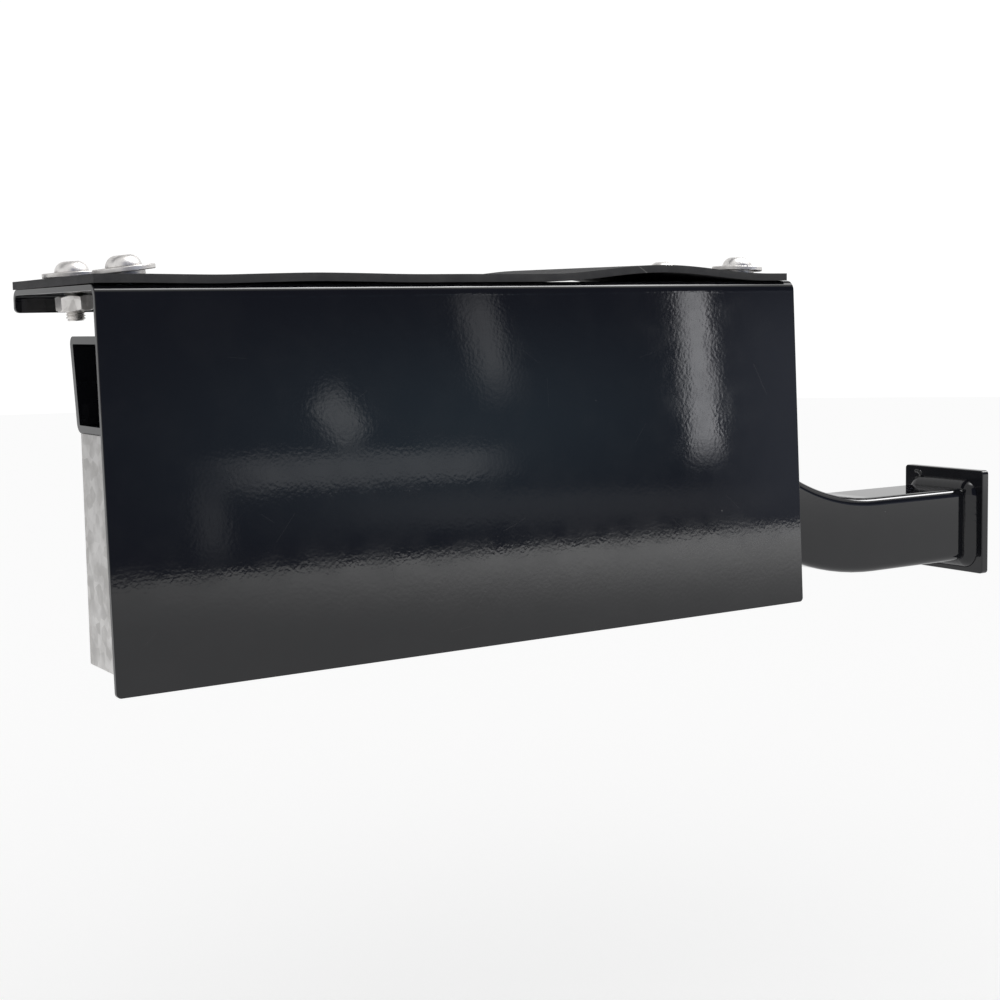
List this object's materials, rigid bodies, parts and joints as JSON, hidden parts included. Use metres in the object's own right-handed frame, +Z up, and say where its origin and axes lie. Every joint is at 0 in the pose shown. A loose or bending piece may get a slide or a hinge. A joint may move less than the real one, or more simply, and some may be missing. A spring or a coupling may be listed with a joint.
{
  "type": "parcel drop hood on a bent arm",
  "caption": "Rubber-topped bent-sheet hood with a deep front apron, carried on an S-bent square-tube arm with a square end plate and a short drop post.",
  "frame": {"origin": "centre of the end plate's outer face, where the arm is held", "axes": "+X out of the end plate's outer face, away from the hood; +Y to the back of the hood; +Z up"},
  "size_m": [0.6464, 0.1331, 0.2175],
  "materials": {
    "black_powder_coat": "gloss black powder coat with light orange peel",
    "painted_weld": "gloss black powder coat over a weld bead",
    "rubber": "matt charcoal sheet rubber",
    "stainless": "tumbled A2 stainless, satin",
    "blackened_steel": "black oxide on steel, oiled",
    "galvanised": "plain zinc coating, faintly mottled"
  },
  "bodies": {
    "root": {"hood_shell": "black_powder_coat", "rubber_top_sheet": "rubber", "hood_button_screws": "stainless", "hood_large_washers": "stainless", "hood_small_washers": "stainless", "hood_hex_nuts": "stainless", "hood_saddle_left": "black_powder_coat", "hood_saddle_right": "black_powder_coat", "saddle_welds": "painted_weld", "arm_tube": "black_powder_coat", "arm_end_plate": "black_powder_coat", "end_plate_weld": "painted_weld", "drop_post": "galvanised", "post_top_plate": "galvanised", "post_foot_cap": "galvanised", "post_stud": "blackened_steel", "post_stud_washer": "blackened_steel", "post_stud_nut": "blackened_steel"}
  },
  "joints": []
}
